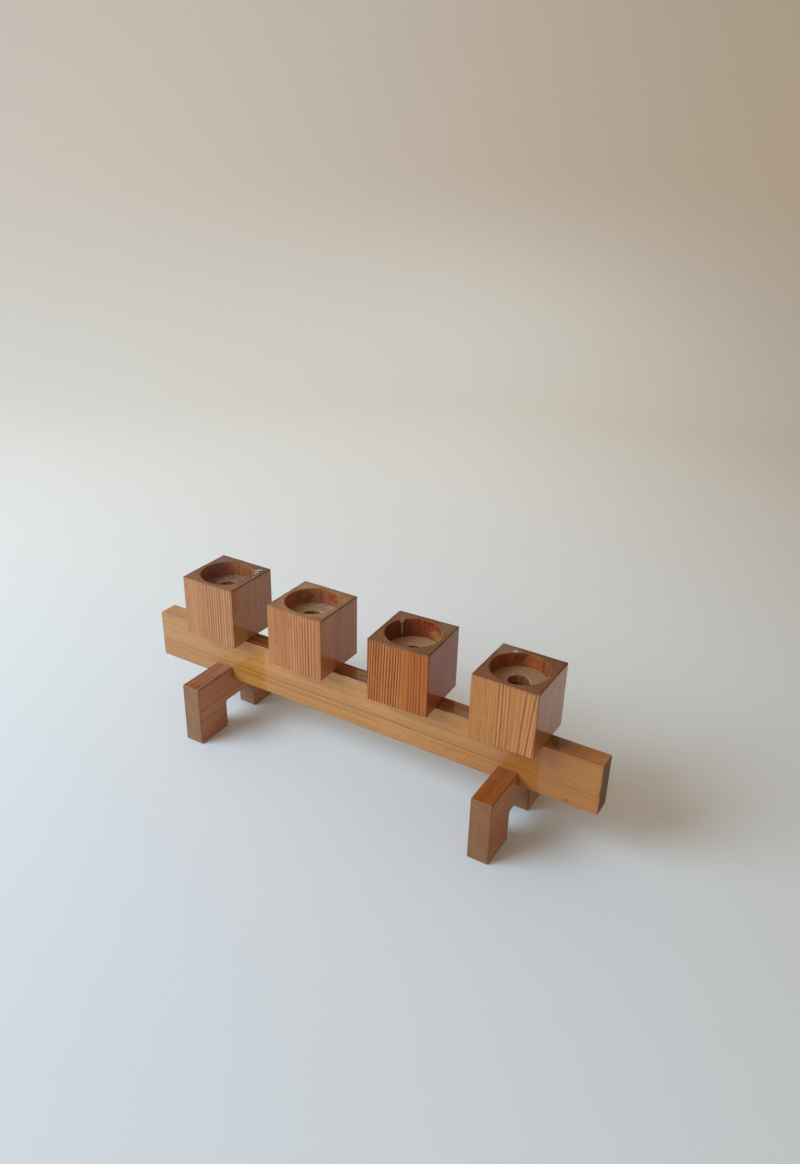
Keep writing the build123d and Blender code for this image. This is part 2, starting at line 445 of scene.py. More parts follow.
class Graph:
    """A short way to write nodes, with a colour that is painted on in layers."""

    def __init__(self, name, owner=None):
        self.owner = owner or bpy.data.materials.new(name)
        self.owner.use_nodes = True
        self.tree = self.owner.node_tree
        self.tree.nodes.clear()
        self.colour = None

    def put(self, socket, value):
        if isinstance(value, bpy.types.NodeSocket):
            self.tree.links.new(value, socket)
        else:
            socket.default_value = value

    def add(self, kind, *inputs, **settings):
        node = self.tree.nodes.new("ShaderNode" + kind)
        for key, value in settings.items():
            setattr(node, key, value)
        for socket, value in zip(node.inputs, inputs):
            self.put(socket, value)
        return node

    def math(self, operation, *values):
        return self.add("Math", *values, operation=operation).outputs[0]

    def times(self, product, *values):
        for value in values:
            product = self.math("MULTIPLY", product, value)
        return product

    def minus(self, first, second):
        return self.math("SUBTRACT", first, second)

    def scaled(self, value, factor, offset):
        return self.math("MULTIPLY_ADD", value, factor, offset)

    def vector(self, operation, first, second):
        return self.add("VectorMath", first, second, operation=operation).outputs

    def mix(self, factor, first, second, blend="MIX"):
        node = self.add("Mix", data_type="RGBA", blend_type=blend)
        for index, value in ((0, factor), (6, first), (7, second)):
            self.put(node.inputs[index], value)
        return node.outputs[2]

    def paint(self, cover, tone, blend="MIX"):
        """One more layer of colour."""
        self.colour = self.mix(cover, self.colour, tone, blend)

    def spots(self, spots, core):
        """Round spots: middle, radius, depth and tone."""
        for middle, radius, depth, tone in spots:
            apart = self.vector("DISTANCE", self.place(), middle)["Value"]
            self.paint(self.ramp(apart, radius * core, radius, depth, 0.0), tone)

    def ramp(self, value, low, high, to_low=0.0, to_high=1.0):
        """A smooth step between two values."""
        node = self.add("MapRange", value, low, high, to_low, to_high, interpolation_type="SMOOTHSTEP")
        return node.outputs[0]

    def curve(self, value, points, top=1.0):
        """Straight runs between points, whose first values rise from 0 and second ones lie within top."""
        span = points[-1][0]
        node = self.add("FloatCurve")
        self.put(node.inputs["Value"], self.math("DIVIDE", value, span))
        mapping = node.mapping
        mapping.use_clip = False
        mapping.extend = "EXTRAPOLATED"
        curve = mapping.curves[0]
        while len(curve.points) < len(points):
            curve.points.new(0.5, 0.5)
        for knot, (x, y) in zip(curve.points, points):
            knot.location = (x / span, y / top)
            knot.handle_type = "VECTOR"
        mapping.update()
        return self.times(node.outputs[0], top)

    def noise(self, vector, scale, detail=2.0, roughness=0.5):
        """Noise of about 0 to 1; scale is features per millimetre, along each axis or all of them."""
        scales = scale if isinstance(scale, tuple) else (scale,) * 3
        node = self.add("TexNoise", self.vector("MULTIPLY", vector, scales)[0])
        for key, value in (("Scale", 1.0), ("Detail", detail), ("Roughness", roughness)):
            node.inputs[key].default_value = value
        return node.outputs["Fac"]

    def place(self):
        """The point on the piece in millimetres, in the piece's own frame."""
        return self.vector("MULTIPLY", self.add("TexCoord").outputs["Object"], (1 / MM,) * 3)[0]

    def split(self, vector):
        return self.add("SeparateXYZ", vector).outputs

    def normal(self):
        """The parts of the surface's direction, in the piece's own frame."""
        return self.split(self.add("TexCoord").outputs["Normal"])

    def along(self, grain):
        """How far along its grain the point lies."""
        return self.split(self.place())[grain["order"][2]]

    def wear(self):
        """The mesh's share of edge wear."""
        return self.add("Attribute", attribute_name="edge").outputs["Fac"]

    def finish(self, bump, distance, **inputs):
        """The painted surface, from Principled sockets by name, with one bump."""
        shader = self.add("BsdfPrincipled", self.colour)
        for key, value in inputs.items():
            self.put(shader.inputs[key.replace("_", " ")], value)
        if bump is not None:
            node = self.add("Bump")
            for key, value in (("Strength", 1.0), ("Distance", distance * MM), ("Height", bump)):
                self.put(node.inputs[key], value)
            for key in ("Normal", "Coat Normal"):
                self.put(shader.inputs[key], node.outputs["Normal"])
        self.add("OutputMaterial", shader.outputs[0])
        return self.owner


# Noise in the wood: features per millimetre across, aside and along the fibres
MEANDER_NOISE = 0.03
WAVER_NOISE = (0.25, 0.25, 0.045)
BREAK_NOISE = (0.3, 0.3, 0.02)
FIBRE_NOISE = (1.5, 1.5, 0.03)
PORE_NOISE = (1.1, 1.1, 0.16)
BAND_NOISE = (0.14, 0.14, 0.006)
STREAK_NOISE = (0.6, 0.6, 0.014)
EDGE_NOISE = (0.25, 0.25, 0.15)
SEED_STEPS = (130.0, 70.0, 210.0)

# Place of the dark line in a growth ring, its fading on a block's right side, and the full part of a spot
LATE_PHASE = 0.74
SIDEWAYS_FADE = 0.93
MARK_CORE = 0.3
SMUDGE_CORE = 0.4

COAT_ROUGHNESS = 0.05
WOOD_GLOSS = 0.15


def grain_point(wood, grain):
    """Where the point lies across, aside and along the grain, and the same point moved by the seed."""
    parts = wood.split(wood.place())
    axes = [parts[axis] for axis in grain["order"]]
    joined = wood.add("CombineXYZ", *axes).outputs[0]
    return axes, wood.vector("ADD", joined, tuple(grain["seed"] * step for step in SEED_STEPS))[0]


def ring_distance(wood, grain, axes, point):
    """Distance across the growth rings from the middle, and its share of the piece's width."""
    across, aside, along = axes
    pith_across, pith_aside = grain["pith"]
    offset_across = wood.minus(across, grain["middle"] + pith_across)
    offset_aside = wood.minus(aside, pith_aside)
    square_aside = wood.times(offset_aside, offset_aside)
    square_sum = wood.scaled(offset_across, offset_across, square_aside)
    reach = math.hypot(pith_across, grain["front"] - pith_aside)
    radial = wood.minus(wood.math("SQRT", square_sum), reach)
    if pith_across > 0:
        radial = wood.times(radial, -1.0)
    meander = wood.noise(point, (MEANDER_NOISE, MEANDER_NOISE, grain["meander_rate"]), 1.0)
    waver = wood.noise(point, WAVER_NOISE)
    for wobble, amount in ((meander, grain["meander"]), (waver, grain["waver"])):
        radial = wood.scaled(wood.minus(wobble, 0.5), amount, radial)
    share = wood.scaled(radial, 1 / grain["size"], 0.5)
    if "lean" in grain:
        amount, start, full = grain["lean"]
        leaning = wood.times(along, wood.ramp(share, start, full, 0.0, amount))
        share = wood.scaled(leaning, 1 / grain["size"], share)
    return radial, share


def ring_knots(grain):
    """Ring number against share of the width, from the places in millimetres of the dark ring lines."""
    lines, size = grain["lines"], grain["size"]
    gaps = np.diff(lines)
    knots = [(0.0, 1 + LATE_PHASE - lines[0] / gaps[0])]
    for number, place in enumerate(lines, start=1):
        knots.append((place / size, number + LATE_PHASE))
    knots.append((1.0, knots[-1][1] + (size - lines[-1]) / gaps[-1]))
    return knots


def ring_lines(wood, grain, share, point):
    """The dark line of each ring: the early wood darkens slowly, then the late wood ends sharply."""
    knots = ring_knots(grain)
    rings = wood.curve(share, knots, knots[-1][1])
    phase = wood.math("FRACT", rings)
    line = wood.times(wood.ramp(phase, 0.36, 0.62), wood.ramp(phase, 0.86, 0.98, 1.0, 0.0))
    line = wood.scaled(wood.ramp(phase, 0.1, 0.9), 0.1, wood.times(line, 0.9))
    ring_tone = wood.add("TexWhiteNoise", noise_dimensions="1D")
    wood.put(ring_tone.inputs["W"], wood.math("ADD", wood.math("FLOOR", rings), grain["seed"] * 31.0))
    uneven = grain["uneven"]
    tone = wood.scaled(ring_tone.outputs["Value"], uneven, 1 - uneven)
    return wood.times(line, tone, wood.ramp(wood.noise(point, BREAK_NOISE), 0.3, 0.6, 0.75, 1.0))


def late_wood(wood, grain, line, radial, share, along):
    """How dark the late wood is: the ring lines by their contrast, and single lines of their own."""
    late = wood.times(line, wood.curve(share, grain["contrast"]))
    for middle, width, (lowest, highest), strength in grain["accents"]:
        apart = wood.math("ABSOLUTE", wood.minus(radial, (middle - 0.5) * grain["size"]))
        stroke = wood.ramp(apart, 0.25 * width, width, strength, 0.0)
        start = wood.ramp(along, lowest - 4, lowest + 4)
        end = wood.ramp(along, highest - 6, highest + 6, 1.0, 0.0)
        late = wood.math("MAXIMUM", late, wood.times(stroke, start, end))
    return wood.math("MINIMUM", late, 1.0)


def paint_long_grain(wood, grain, share, late, fibre, point):
    """Along the fibres: early wood in bands, late lines, fibres and pores."""
    band = wood.ramp(wood.noise(point, BAND_NOISE), 0.3, 0.7, -0.4, 0.4)
    blush = wood.math("ADD", wood.curve(share, grain["bands"]), band)
    streak = wood.ramp(wood.noise(point, STREAK_NOISE, 3.0, 0.6), 0.45, 0.75, 0.0, 0.3)
    pores = wood.ramp(wood.noise(point, PORE_NOISE, 2.0, 0.6), 0.54, 0.74)
    wood.colour = grain["early"]
    wood.paint(wood.math("MINIMUM", wood.math("MAXIMUM", blush, 0.0), 1.0), grain["blush"])
    for cover in (streak, late, wood.ramp(fibre, 0.4, 0.8, 0.0, 0.25), wood.times(pores, grain["pores"])):
        wood.paint(cover, grain["late"])


def end_grain(wood, grain, line, point):
    """The colour across the fibres: cloudy and pitted, with faint rings."""
    cloud = wood.ramp(wood.noise(point, 0.09, 3.0), 0.3, 0.7, 0.0, 0.55)
    pitting = wood.ramp(wood.noise(point, 1.1, 3.0, 0.7), 0.42, 0.66, 0.0, 0.6)
    colour = grain["end"]
    for cover in (cloud, pitting, wood.times(line, 0.3)):
        colour = wood.mix(cover, colour, grain["end_deep"])
    return colour


def paint_wood(wood, grain):
    """Growth rings and fibres of one piece of wood. Gives a seeded point and the height of the grain."""
    axes, point = grain_point(wood, grain)
    radial, share = ring_distance(wood, grain, axes, point)
    line = ring_lines(wood, grain, share, point)
    late = late_wood(wood, grain, line, radial, share, axes[2])
    normal = wood.normal()
    across, aside, along = (normal[axis] for axis in grain["order"])
    fibre = wood.noise(point, FIBRE_NOISE, 4.0, 0.6)
    if "aside" in grain:
        sideways = wood.ramp(across, 0.5, 0.9)
        right_side = wood.scaled(sideways, -SIDEWAYS_FADE, 1.0)
        late = wood.times(late, right_side, wood.ramp(aside, -0.8, 0.2, 1.0, 0.5))
    paint_long_grain(wood, grain, share, late, fibre, point)
    # Painted shade: a block's right side is multiplied darker by its aside tone.
    if "aside" in grain:
        wood.paint(sideways, grain["aside"], "MULTIPLY")
    facing = wood.ramp(wood.math("ABSOLUTE", along), 0.55, 0.9)
    wood.paint(facing, end_grain(wood, grain, line, point))
    return point, wood.scaled(fibre, 0.5, wood.times(late, 0.3))


def paint_edges(wood, grain, point):
    """Edges darkened unevenly: handling wear, and painted shade on the block tops' right and back edges."""
    uneven = wood.ramp(wood.noise(point, EDGE_NOISE), 0.3, 0.65, 0.25, 0.7)
    wood.paint(wood.times(wood.wear(), uneven), grain["edge"])


def paint_top_shade(wood, grain, point):
    """Painted shade: a darker tone on the face that looks up, by its strength along the piece."""
    top_shade_tint, strengths = grain["top"]
    low, high = grain["ends"]
    share = wood.math("DIVIDE", wood.minus(wood.along(grain), low), high - low)
    upwards = wood.ramp(wood.normal()[2], 0.6, 0.95)
    uneven = wood.ramp(wood.noise(point, BREAK_NOISE), 0.35, 0.65, 0.5, 1.0)
    wood.paint(wood.times(upwards, wood.curve(share, strengths), uneven), top_shade_tint, "MULTIPLY")


def lacquered_wood(name, grain):
    """Wood under a glossy clear coat, darker at edges and marks by wear, dirt and painted shade."""
    wood = Graph(name)
    point, height = paint_wood(wood, grain)
    paint_edges(wood, grain, point)
    # Painted shade on the face that looks up.
    if "top" in grain:
        paint_top_shade(wood, grain, point)
    for start, end, strength, shade in grain["shades"]:
        wood.paint(wood.ramp(wood.along(grain), start, end, 0.0, strength), shade)
    # Dirt marks, and on the beam painted shade beside block 4.
    wood.spots(grain["marks"], MARK_CORE)
    rough = wood.ramp(wood.noise(point, 0.05, 3.0), 0.3, 0.7, 0.3, 0.42)
    return wood.finish(height, 0.03, Roughness=rough, Specular_IOR_Level=WOOD_GLOSS,
                        Coat_Weight=grain["lacquer"], Coat_Roughness=COAT_ROUGHNESS, Coat_IOR=grain["coat"])


def end_wood(name, grain):
    """The same wood across its fibres, where the lacquer has sunk in and lies thin."""
    wood = Graph(name)
    point, _ = paint_wood(wood, grain)
    paint_edges(wood, grain, point)
    # Painted shade: the top is painted darker towards the back.
    if "painted_back_shade" in grain:
        behind = wood.split(wood.place())[1]
        wood.paint(wood.ramp(behind, -block_half, block_half, 0.0, grain["painted_back_shade"]), grain["edge"])
    wood.spots(grain["smudges"], SMUDGE_CORE)
    pitted = wood.noise(point, 1.4, 3.0, 0.6)
    rough = wood.ramp(pitted, 0.3, 0.7, 0.45, 0.62)
    return wood.finish(pitted, 0.12, Roughness=rough, Specular_IOR_Level=WOOD_GLOSS,
                        Coat_Weight=0.2, Coat_Roughness=0.25, Coat_IOR=1.5)


def recess_wall(name, grain, stains):
    """The turned wall of a candle recess: bare dark wood with wax that has soaked in."""
    wood = Graph(name)
    point, _ = paint_wood(wood, grain)
    place = wood.place()
    x, y, z = wood.split(place)
    angle = wood.times(wood.math("ARCTAN2", y, x), 180 / math.pi)
    angle = wood.math("WRAP", angle, 300.0, -60.0)
    depth = wood.minus(block_height, z)
    wood.paint(0.85, grain["recess"])
    streak = wood.noise(point, (0.5, 0.5, 0.06), 3.0)
    wood.paint(wood.ramp(streak, 0.42, 0.72, 0.0, 0.35), DIRT_AND_SHADE)
    ragged = wood.minus(wood.noise(place, 0.35, 5.0, 0.72), 0.5)
    fleck = wood.ramp(wood.noise(place, (1.0, 1.0, 0.5), 3.0, 0.7), 0.3, 0.6, 0.5, 1.0)
    crust = wood.noise(point, (0.45, 0.45, 0.35), 3.0, 0.75)
    pale_crust = wood.ramp(crust, 0.58, 0.66, 0.0, 0.3)
    burnt_crust = wood.ramp(crust, 0.48, 0.38, 0.0, 0.9)
    for (middle, half_angle), (level, half_depth), wax, strength in stains:
        turn = wood.math("DIVIDE", wood.minus(angle, middle), half_angle)
        drop = wood.math("DIVIDE", wood.minus(depth, level), half_depth)
        spread = wood.scaled(turn, turn, wood.times(drop, drop))
        spread = wood.scaled(ragged, 2.6, spread)
        cover = wood.times(wood.ramp(spread, 0.4, 1.25, strength, 0.0), fleck)
        wood.paint(cover, wax)
        wood.paint(wood.times(cover, pale_crust), DUST_AND_SHEEN)
        wood.paint(wood.times(cover, burnt_crust), SOOT_AND_SHADE)
    return wood.finish(wood.noise(place, (0.9, 0.9, 0.5), 4.0, 0.6), 0.2, Roughness=0.45)


def recess_floor(name, grain):
    """The recess floor: end grain under grey dust and crumbs of wax."""
    wood = Graph(name)
    point, _ = paint_wood(wood, grain)
    cloud = wood.noise(point, 0.12, 4.0, 0.6)
    speck = wood.noise(point, 0.85, 3.0, 0.75)
    wood.paint(wood.ramp(cloud, 0.25, 0.6, 0.55, 0.95), grain["dust"])
    wood.paint(wood.ramp(speck, 0.52, 0.64, 0.0, grain["crumbs"]), DUST_AND_SHEEN)
    wood.paint(wood.ramp(speck, 0.36, 0.48, grain["crumbs"], 0.0), DIRT_AND_SHADE)
    return wood.finish(wood.math("ADD", speck, cloud), 0.3, Roughness=0.85)


def bare_hole(name, grain):
    """The drilled screw hole: dark, unlacquered wood with splinters where its rim is torn."""
    wood = Graph(name)
    point, _ = paint_wood(wood, grain)
    wood.paint(0.8, HOLE_BROWN)
    wood.paint(wood.ramp(wood.noise(point, (0.5, 0.5, 0.3), 3.0), 0.4, 0.7, 0.0, 0.5), DIRT_AND_SHADE)
    splinter = wood.ramp(wood.noise(point, (0.8, 0.8, 0.2), 3.0, 0.7), 0.52, 0.64, 0.0, 0.7)
    wood.paint(wood.times(wood.ramp(wood.wear(), 0.5, 1.0), splinter), WAX_AMBER)
    return wood.finish(wood.noise(point, 0.9, 3.0), 0.3, Roughness=0.9)


def candle_wax(name, pale, dull):
    """Old spilt wax: pale, a little dirty and half matt."""
    wax = Graph(name)
    place = wax.place()
    wax.colour = pale
    wax.paint(wax.ramp(wax.noise(place, 0.5, 3.0), 0.35, 0.7), dull)
    return wax.finish(wax.noise(place, 2.0), 0.05, Roughness=0.4)


def worn_steel(name):
    """Dull screw steel with fine scratches and a little rust."""
    steel = Graph(name)
    place = steel.place()
    scratch = steel.noise(place, (6.0, 0.6, 6.0), 3.0)
    rust = steel.ramp(steel.noise(place, 0.9, 4.0, 0.65), 0.52, 0.68)
    steel.colour = STEEL
    steel.paint(rust, RUST)
    rough = steel.scaled(rust, 0.4, steel.ramp(scratch, 0.3, 0.7, 0.28, 0.5))
    return steel.finish(scratch, 0.03, Roughness=rough, Metallic=steel.ramp(rust, 0.0, 1.0, 1.0, 0.25))


# Grain of each piece. Its order is the axes across, aside and along the fibres. The dark ring lines are
# millimetres from the left or from below. Their contrast and the bands of the redder tone run from that
# side (0) to the other (1) and round the edge (above 1). An accent is a single line: its share of the width,
# half width, stretch and strength. A shade grows along the piece. Marks and smudges are spots, some of them
# painted shade and painted sheen. The aside tone is painted shade on a block's right side, the top tint is
# painted shade on the face that looks up, and the back shade paints a block's top darker towards the back.
COMMON_GRAIN = dict(
    meander=2.5, meander_rate=0.012, waver=0.9, uneven=0.45, pores=0.3, lacquer=1.0,
    accents=(), shades=(), marks=(), smudges=(),
)
BLOCK_GRAIN = dict(COMMON_GRAIN, order=(0, 1, 2), middle=0.0, front=-block_half, size=2 * block_half)
# The back corners of the block tops, where pale spots are painted sheen.
BACK_LEFT = (-17.0, 18.0, block_height)
BACK_RIGHT = (18.0, 18.0, block_height)
BLOCK_GRAINS = {}
BLOCK_GRAINS[1] = dict(
    BLOCK_GRAIN, pith=(-150.0, -60.0), seed=1.0, coat=1.5, waver=0.25, meander=0.5, uneven=0.3,
    lines=(4.4, 7.5, 10.6, 13.8, 16.9, 20.0, 23.0, 25.6, 27.8, 30.0, 32.6, 34.8, 37.6, 40.5, 42.6, 44.8),
    contrast=((0, 0.12), (0.42, 0.2), (0.48, 0.9), (0.75, 1), (0.8, 0.6), (0.88, 1), (1, 0.9), (1.5, 0.9)),
    bands=((0, 0.6), (0.42, 0.6), (0.47, 0.2), (1, 0.15), (1.5, 0.9)), painted_back_shade=0.3, pores=0.45,
    smudges=(((17.5, 15.5, block_height), 7.5, 0.5, SMUDGE), (BACK_LEFT, 12.0, 0.06, DUST_AND_SHEEN)),
    early=srgb(194, 134, 82), blush=srgb(177, 115, 67), late=srgb(126, 60, 0),
    aside=(0.87, 0.87, 0.95, 1.0),
    end=srgb(148, 106, 80), end_deep=srgb(116, 78, 58), edge=srgb(66, 42, 34),
    recess=srgb(160, 105, 78), dust=srgb(136, 101, 80), crumbs=0.55,
)
BLOCK_GRAINS[2] = dict(
    BLOCK_GRAIN, pith=(-130.0, -60.0), seed=2.0, coat=1.5, waver=0.25, meander=0.5, uneven=0.3,
    lines=(
        1.4, 4.2, 7.0, 10.0, 13.0, 16.0, 19.0, 21.9, 24.4, 26.6, 28.8, 31.0, 33.2, 35.7, 38.4, 41.4, 44.4,
    ),
    contrast=(
        (0, 0.3), (0.2, 0.2), (0.42, 0.2), (0.49, 0.85), (0.78, 1), (0.83, 0.5), (1, 0.5), (1.5, 0.5),
    ),
    bands=(
        (0, 0.6), (0.03, 0.4), (0.12, 0.4), (0.16, 0.9), (0.42, 0.9), (0.48, 0.15), (0.74, 0.15),
        (0.8, 0.5), (1, 0.5), (1.5, 1),
    ),
    accents=((0.762, 0.9, (-5, 27), 1.0),), painted_back_shade=0.1, pores=0.45,
    smudges=(
        ((-22.6, -15.3, block_height), 1.9, 0.95, SMUDGE),
        ((-22.9, -18.6, block_height), 1.4, 0.95, SMUDGE), (BACK_LEFT, 12.0, 0.1, DUST_AND_SHEEN),
    ),
    early=srgb(199, 133, 72), blush=srgb(179, 111, 56), late=srgb(124, 52, 0),
    aside=(0.82, 0.75, 0.75, 1.0),
    end=srgb(168, 124, 84), end_deep=srgb(130, 88, 56), edge=srgb(66, 42, 28),
    recess=srgb(171, 107, 72), dust=srgb(158, 132, 106), crumbs=0.5,
)
BLOCK_GRAINS[3] = dict(
    BLOCK_GRAIN, pith=(-120.0, -50.0), seed=3.0, coat=1.28, waver=0.4, meander=1.0, uneven=0.08,
    lean=(-0.035, 0.75, 0.5), painted_back_shade=0.2, pores=0.4,
    lines=(
        0.6, 2.4, 4.3, 6.3, 8.4, 10.5, 12.6, 14.7, 16.8, 18.9, 20.9, 22.8, 24.8, 28.0, 32.0, 34.0, 36.0,
        38.0, 40.4, 43.5,
    ),
    contrast=(
        (0, 1), (0.51, 1), (0.55, 0.15), (0.65, 0.15), (0.69, 0.6), (0.86, 0.6), (0.92, 0.3), (1, 0.3),
        (1.5, 0.3),
    ),
    bands=(
        (0, 0.1), (0.5, 0.2), (0.55, 0.7), (0.68, 0.7), (0.72, 1), (0.86, 1), (0.9, 0.8), (1, 0.9),
        (1.5, 1),
    ),
    smudges=((BACK_LEFT, 12.0, 0.04, DUST_AND_SHEEN), (BACK_RIGHT, 12.0, 0.07, DUST_AND_SHEEN)),
    early=srgb(196, 123, 57), blush=srgb(179, 100, 35), late=srgb(102, 22, 0),
    aside=(0.74, 0.48, 0.2, 1.0),
    end=srgb(136, 92, 58), end_deep=srgb(106, 66, 40), edge=srgb(52, 28, 18),
    recess=srgb(130, 66, 40), dust=srgb(172, 131, 97), crumbs=0.35,
)
BLOCK_GRAINS[4] = dict(
    BLOCK_GRAIN, pith=(130.0, 25.0), seed=4.0, coat=1.45, waver=1.0, meander=1.2, pores=0.4,
    lean=(-0.08, 0.55, 0.95),
    lines=(
        1.6, 3.6, 5.6, 7.6, 9.6, 11.6, 13.6, 15.6, 17.8, 20.4, 22.8, 25.0, 27.2, 30.2, 33.0, 35.4, 37.8,
        39.9, 42.0, 44.0, 46.0,
    ),
    contrast=(
        (0, 0.2), (0.38, 0.3), (0.42, 1), (0.5, 1), (0.53, 0.5), (0.58, 0.8), (0.63, 0.3), (0.71, 0.3),
        (0.74, 1), (0.77, 1), (0.79, 0.3), (0.82, 0.3), (0.84, 1), (0.86, 1), (0.885, 0.4), (0.905, 0.4),
        (0.925, 1), (0.95, 1), (1, 0.6), (1.5, 0.6),
    ),
    bands=((0, 0.75), (0.4, 0.75), (0.44, 0.2), (1, 0.25), (1.5, 0.8)), painted_back_shade=0.25,
    smudges=((BACK_LEFT, 13.0, 0.11, DUST_AND_SHEEN),),
    early=srgb(198, 134, 73), blush=srgb(186, 117, 51), late=srgb(116, 44, 0),
    aside=(0.74, 0.59, 0.4, 1.0),
    end=srgb(138, 90, 56), end_deep=srgb(110, 66, 40), edge=srgb(58, 34, 22),
    recess=srgb(146, 76, 38), dust=srgb(158, 120, 89), crumbs=0.3,
)
BEAM_GRAIN = dict(
    COMMON_GRAIN, order=(2, 1, 0), pith=(-80.0, -30.0), front=beam_front, size=beam_top - beam_bottom,
    middle=(beam_bottom + beam_top) / 2, ends=(beam_left, beam_right), seed=5.0, coat=1.6,
    meander=2.0, meander_rate=0.006, waver=0.8, pores=0.45,
    lines=(1.2, 2.8, 4.6, 6.6, 9.6, 11.4, 14.4, 19.5, 25.0, 30.5, 34.5, 36.6, 38.2),
    contrast=(
        (0, 0.5), (0.2, 0.4), (0.25, 0.7), (0.38, 0.7), (0.45, 0.15), (0.85, 0.15), (0.92, 0.3), (1, 0.2),
        (1.5, 0.2),
    ),
    bands=((0, 0.6), (0.4, 0.6), (0.5, 0.3), (1, 0.4), (1.5, 0.5)),
    accents=(
        (0.37, 0.9, (-80, 190), 0.6), (0.26, 0.8, (-110, 20), 0.5), (0.29, 0.7, (60, 190), 0.5),
        (0.95, 0.5, (165, 195), 0.8), (1.0, 0.18, (140, 195), 1.0), (1.022, 0.14, (140, 195), 0.8),
        (1.045, 0.2, (140, 195), 1.0), (1.068, 0.14, (140, 195), 0.9), (1.088, 0.2, (100, 195), 1.0),
    ),
    shades=((30, 150, 0.55, srgb(168, 98, 26)), (-110, -170, 0.3, srgb(166, 122, 84))),
    # Painted shade on the beam's top, fading towards both ends.
    top=(
        (0.34, 0.22, 0.06, 1.0),
        ((0, 0), (0.06, 0), (0.24, 1), (0.93, 1), (0.96, 0.6), (0.98, 0.3), (1, 0.25)),
    ),
    marks=(
        ((-178.0, 1.5, beam_top), 1.0, 0.9, DIRT_AND_SHADE), ((-184.0, -4.0, beam_top), 0.8, 0.7, DIRT_AND_SHADE),
        # Painted shade: the two large dark marks beside block 4.
        ((153.0, 3.5, beam_top), 11.0, 0.55, DIRT_AND_SHADE), ((155.0, -1.0, beam_top), 6.4, 0.4, DIRT_AND_SHADE),
        ((165.8, beam_front, beam_bottom + 2.8), 1.7, 0.65, DIRT_AND_SHADE),
        ((beam_right, beam_front, beam_bottom + 17.0), 1.3, 0.7, DIRT_AND_SHADE),
        ((beam_right, beam_front, beam_bottom + 29.0), 1.0, 0.6, DIRT_AND_SHADE),
    ),
    early=srgb(202, 144, 78), blush=srgb(194, 131, 60), late=srgb(142, 80, 28),
    end=srgb(119, 69, 28), end_deep=srgb(84, 47, 18), edge=srgb(124, 76, 38),
)
FOOT_GRAIN = dict(
    COMMON_GRAIN, order=(2, 0, 1), pith=(-90.0, -40.0), front=foot_high[0] - foot_middle_x, size=foot_high[2],
    middle=foot_high[2] / 2, ends=(foot_low[1], foot_high[1]), coat=1.45, lacquer=0.5,
    lines=(1.5, 3.2, 5.0, 7.2, 9.0, 11.0, 13.4, 15.6, 18.0, 20.5, 24.0, 29.0, 35.0, 41.0, 46.5),
    contrast=((0, 0.7), (0.4, 0.6), (0.5, 0.3), (0.95, 0.3), (1, 0.15)), bands=((0, 0.5), (1.5, 0.5)),
    edge=srgb(110, 74, 52),
)
# The feet's top tints are painted shade on their tops.
FOOT_GRAINS = {
    "left": dict(
        FOOT_GRAIN, seed=6.0, top=((0.5, 0.3, 0.09, 1.0), ((0, 1), (1, 1))),
        early=srgb(199, 138, 95), blush=srgb(183, 120, 81), late=srgb(128, 77, 49),
        end=srgb(156, 115, 84), end_deep=srgb(128, 88, 62),
    ),
    "right": dict(
        FOOT_GRAIN, seed=7.0, top=((0.69, 0.64, 0.61, 1.0), ((0, 1), (1, 1))),
        early=srgb(189, 115, 54), blush=srgb(171, 98, 44), late=srgb(122, 63, 24),
        end=srgb(151, 108, 74), end_deep=srgb(124, 82, 52),
    ),
}

# Nicks in the beam's right end: place, reach and depth
BEAM_NICKS = (((beam_right, beam_bottom + 17.0), 1.6, 0.9), ((beam_right, beam_bottom + 29.0), 1.2, 0.5))

# Wax and soot on the recess walls, and painted shade on block 4's right wall: angle and depth of each stain with
# its reach, colour and thickness
BLOCK_STAINS = {
    1: (
        ((172, 50), (6, 16), WAX_PLUM, 0.5), ((112, 28), (3, 10), WAX_ORANGE, 0.35),
        ((80, 20), (8, 4.5), WAX_RUST, 0.65), ((56, 12), (5, 5), WAX_ORANGE, 0.85),
    ),
    2: (
        ((140, 26), (5, 7), WAX_MAUVE, 0.75), ((108, 5), (5, 8), SOOT_AND_SHADE, 0.4),
        ((78, 34), (8, 9), WAX_RUST, 0.45), ((73, 15), (5, 4), WAX_RED, 0.55),
    ),
    3: (
        ((165, 40), (6, 16), SOOT_AND_SHADE, 0.3), ((85, 32), (3, 5), WAX_RED, 0.95),
        ((58, 24), (10, 5), WAX_AMBER, 0.75), ((32, 14), (5, 8), WAX_AMBER, 0.8),
    ),
    4: (
        ((165, 34), (6, 16), SOOT_AND_SHADE, 0.13), ((70, 36), (5, 9), WAX_ORANGE, 0.55),
        # Painted shade: the soot-dark stain at 36 degrees on the right wall.
        ((114, 12), (3, 6), WAX_BURNT, 0.8), ((36, 34), (6, 14), SOOT_AND_SHADE, 0.3),
        ((64, 3), (5, 5), SOOT_AND_SHADE, 0.7), ((60, 16), (10.6, 1.2), WAX_RED, 0.8),
    ),
}

# Torn rims of the screw holes: direction and reach in radians, depth and raggedness in millimetres
TORN_HOLES = {
    1: ((2.3, 1.3, 2.2, 0.5),),
    2: ((2.9, 1.2, 1.4, 0.5),),
    3: ((0.5, 0.8, 0.3, 0.6),),
    4: ((2.3, 1.4, 2.3, 0.5), (-0.35, 1.1, 0.8, 1.6)),
}

